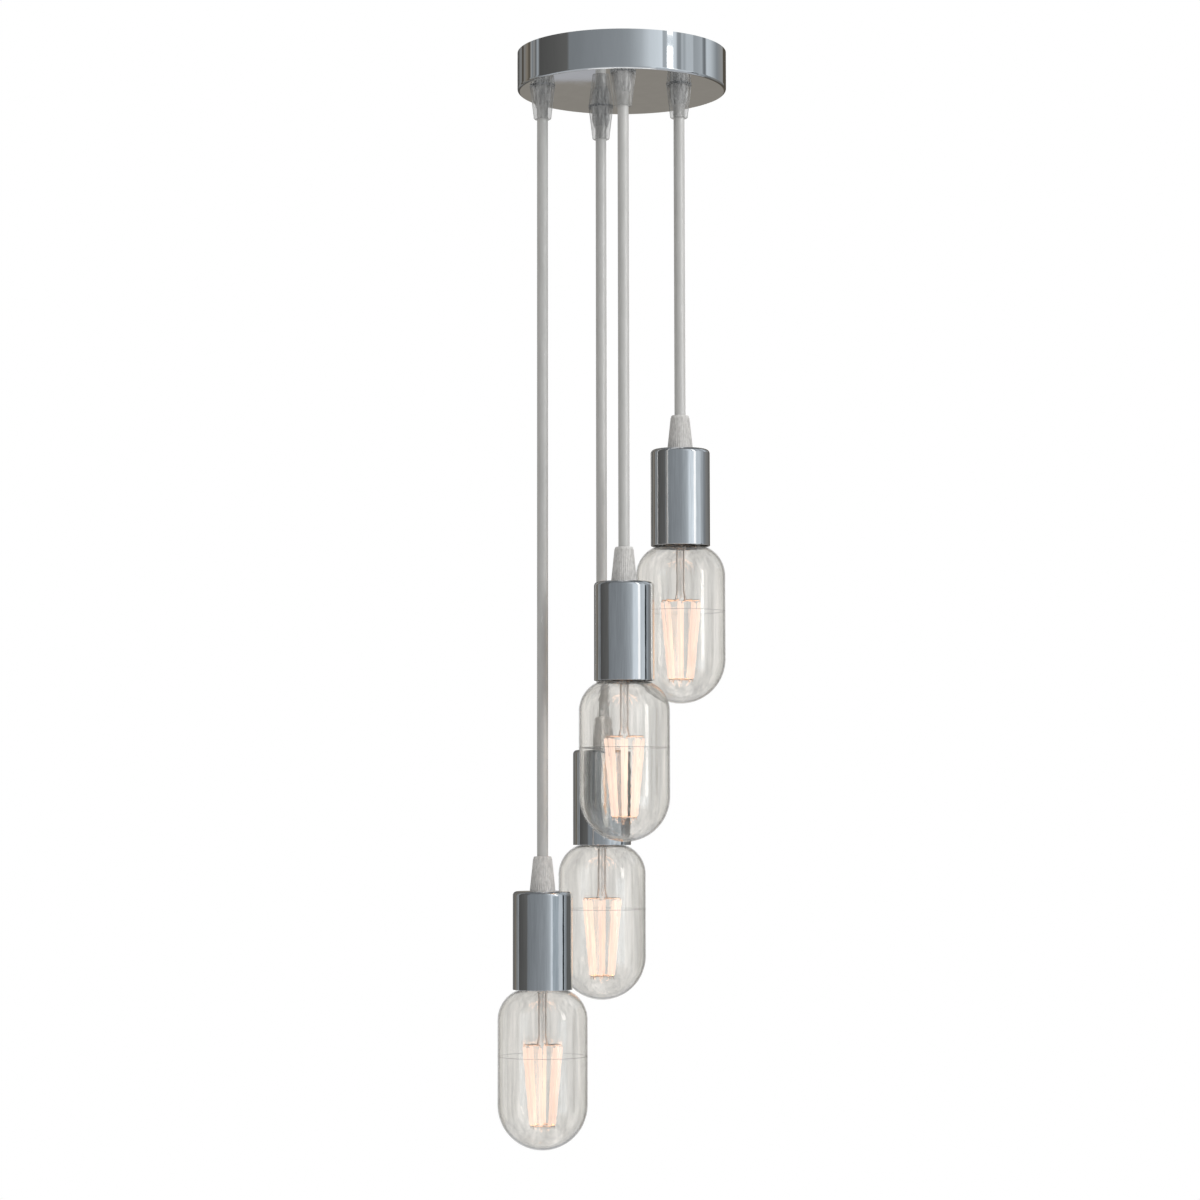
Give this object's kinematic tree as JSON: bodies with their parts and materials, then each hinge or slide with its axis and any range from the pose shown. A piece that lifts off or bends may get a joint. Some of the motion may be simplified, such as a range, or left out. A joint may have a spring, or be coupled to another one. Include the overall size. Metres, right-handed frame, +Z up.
{
  "type": "cluster pendant",
  "caption": "Round ceiling canopy with straight cords of different lengths, each ending in a tubular metal cup that holds a capsule filament lamp.",
  "frame": {"origin": "centre of the ceiling plane, on top of the strap, above the middle of the canopy", "axes": "+Z up into the ceiling, -Y to the front, +X to the right as seen from the front"},
  "size_m": [0.1684, 0.1804, 0.804],
  "materials": {
    "chrome_sheet": "polished",
    "plated_steel": "zinc plated",
    "ivory_plastic": "moulded",
    "brass": "plain",
    "stem_plastic": "moulded",
    "grey_sheath": "smooth sheath",
    "brown_insulation": "smooth",
    "blue_insulation": "smooth",
    "green_insulation": "smooth, green with a yellow stripe",
    "clear_plastic": "clear, slightly grey",
    "grey_plastic": "finely ribbed, satin",
    "holder_plastic": "moulded",
    "cap_insulator": "vitreous, with a bright metal tip",
    "cap_metal": "satin",
    "lamp_glass": "clear, slightly warm",
    "stem_glass": "clear",
    "wire": "dull copper",
    "filament": "glowing"
  },
  "bodies": {
    "canopy_set": {"canopy": "chrome_sheet", "ceiling_bracket": "plated_steel", "fixing_screws": "plated_steel", "terminal_block": "ivory_plastic", "terminal_clamps": "brass", "grip_stems": "stem_plastic", "grip_nuts": "plated_steel", "cord_tails": "grey_sheath", "leads_live": "brown_insulation", "leads_neutral": "blue_insulation", "leads_earth": "green_insulation", "cord_grip_right": "clear_plastic", "cord_grip_front": "clear_plastic", "cord_grip_back": "clear_plastic", "cord_grip_left": "clear_plastic"},
    "pendant_right": {"cord_right": "grey_sheath", "cord_cone_right": "grey_plastic", "cup_right": "chrome_sheet", "lampholder_right": "holder_plastic", "holder_contacts_right": "brass"},
    "lamp_draw_right": {"cap_tip_right": "cap_insulator"},
    "lamp_right": {"lamp_cap_right": "cap_metal", "lamp_glass_right": "lamp_glass", "lamp_stem_right": "stem_glass", "lead_wires_right": "wire", "filaments_right": "filament"},
    "pendant_front": {"cord_front": "grey_sheath", "cord_cone_front": "grey_plastic", "cup_front": "chrome_sheet", "lampholder_front": "holder_plastic", "holder_contacts_front": "brass"},
    "lamp_draw_front": {"cap_tip_front": "cap_insulator"},
    "lamp_front": {"lamp_cap_front": "cap_metal", "lamp_glass_front": "lamp_glass", "lamp_stem_front": "stem_glass", "lead_wires_front": "wire", "filaments_front": "filament"},
    "pendant_back": {"cord_back": "grey_sheath", "cord_cone_back": "grey_plastic", "cup_back": "chrome_sheet", "lampholder_back": "holder_plastic", "holder_contacts_back": "brass"},
    "lamp_draw_back": {"cap_tip_back": "cap_insulator"},
    "lamp_back": {"lamp_cap_back": "cap_metal", "lamp_glass_back": "lamp_glass", "lamp_stem_back": "stem_glass", "lead_wires_back": "wire", "filaments_back": "filament"},
    "pendant_left": {"cord_left": "grey_sheath", "cord_cone_left": "grey_plastic", "cup_left": "chrome_sheet", "lampholder_left": "holder_plastic", "holder_contacts_left": "brass"},
    "lamp_draw_left": {"cap_tip_left": "cap_insulator"},
    "lamp_left": {"lamp_cap_left": "cap_metal", "lamp_glass_left": "lamp_glass", "lamp_stem_left": "stem_glass", "lead_wires_left": "wire", "filaments_left": "filament"}
  },
  "joints": [
    {"name": "swing_right", "type": "hinge", "parent": "canopy_set", "child": "pendant_right", "pos_m": [0.04183, -0.02398, -0.0583], "axis": [-0.7071, -0.7071, 0], "range_deg": [-6, 20]},
    {"name": "lamp_draw_right", "type": "slide", "parent": "pendant_right", "child": "lamp_draw_right", "axis": [0, 0, -1], "range_m": [0, 0.0109]},
    {"name": "lamp_turn_right", "type": "hinge", "parent": "lamp_draw_right", "child": "lamp_right", "pos_m": [0.04183, -0.02398, -0.3695], "axis": [0, 0, -1], "range_deg": [0, 1080]},
    {"name": "swing_front", "type": "hinge", "parent": "canopy_set", "child": "pendant_front", "pos_m": [0.00047, -0.06534, -0.0583], "axis": [-0.7071, -0.7071, 0], "range_deg": [-4, 20]},
    {"name": "lamp_draw_front", "type": "slide", "parent": "pendant_front", "child": "lamp_draw_front", "axis": [0, 0, -1], "range_m": [0, 0.0109]},
    {"name": "lamp_turn_front", "type": "hinge", "parent": "lamp_draw_front", "child": "lamp_front", "pos_m": [0.00047, -0.06534, -0.469], "axis": [0, 0, -1], "range_deg": [0, 1080]},
    {"name": "swing_back", "type": "hinge", "parent": "canopy_set", "child": "pendant_back", "pos_m": [-0.0155, 0.05013, -0.0583], "axis": [0.2079, 0.9781, 0], "range_deg": [-20, 20]},
    {"name": "lamp_draw_back", "type": "slide", "parent": "pendant_back", "child": "lamp_draw_back", "axis": [0, 0, -1], "range_m": [0, 0.0109]},
    {"name": "lamp_turn_back", "type": "hinge", "parent": "lamp_draw_back", "child": "lamp_back", "pos_m": [-0.0155, 0.05013, -0.5865], "axis": [0, 0, -1], "range_deg": [0, 1080]},
    {"name": "swing_left", "type": "hinge", "parent": "canopy_set", "child": "pendant_left", "pos_m": [-0.0585, -0.02088, -0.0583], "axis": [-0.9511, -0.309, 0], "range_deg": [-20, 20]},
    {"name": "lamp_draw_left", "type": "slide", "parent": "pendant_left", "child": "lamp_draw_left", "axis": [0, 0, -1], "range_m": [0, 0.0109]},
    {"name": "lamp_turn_left", "type": "hinge", "parent": "lamp_draw_left", "child": "lamp_left", "pos_m": [-0.0585, -0.02088, -0.6895], "axis": [0, 0, -1], "range_deg": [0, 1080]}
  ],
  "couplings": [
    {"joint": "lamp_draw_right", "follows": "lamp_turn_right", "m_per_rad": 0.00057757},
    {"joint": "lamp_draw_front", "follows": "lamp_turn_front", "m_per_rad": 0.00057757},
    {"joint": "lamp_draw_back", "follows": "lamp_turn_back", "m_per_rad": 0.00057757},
    {"joint": "lamp_draw_left", "follows": "lamp_turn_left", "m_per_rad": 0.00057757}
  ]
}
